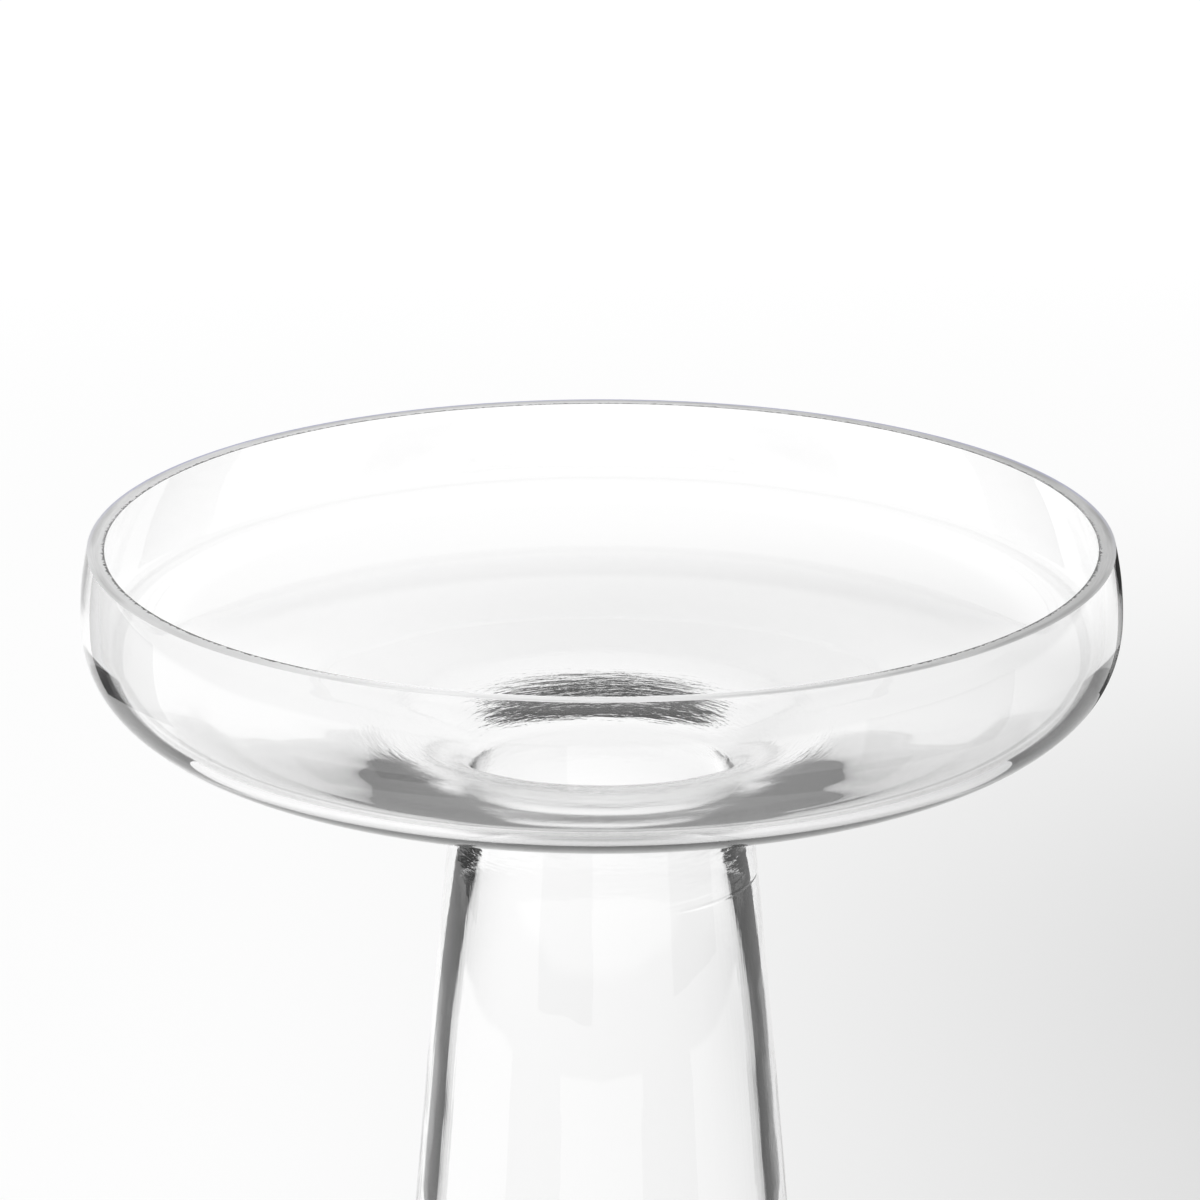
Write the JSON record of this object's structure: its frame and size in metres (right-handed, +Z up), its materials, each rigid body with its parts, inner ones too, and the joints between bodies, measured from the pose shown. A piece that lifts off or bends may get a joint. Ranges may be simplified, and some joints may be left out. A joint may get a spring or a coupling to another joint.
{
  "type": "saucer vase",
  "caption": "Clear blown glass vase: a wide, shallow saucer with an upright wall opens at its centre into a hollow, tapering body on a flat base.",
  "frame": {"origin": "centre of the flat base, on the surface that the vase stands on", "axes": "+Z up along the glass's axis; the vase is round, so +X and +Y are any two level directions"},
  "size_m": [0.254, 0.254, 0.3],
  "materials": {
    "body_glass": "fire-polished, clear, thick at the neck",
    "saucer_glass": "fire-polished, clear, with a flat ground rim"
  },
  "bodies": {
    "root": {"tapered_body": "body_glass", "saucer_bowl": "saucer_glass"}
  },
  "joints": []
}
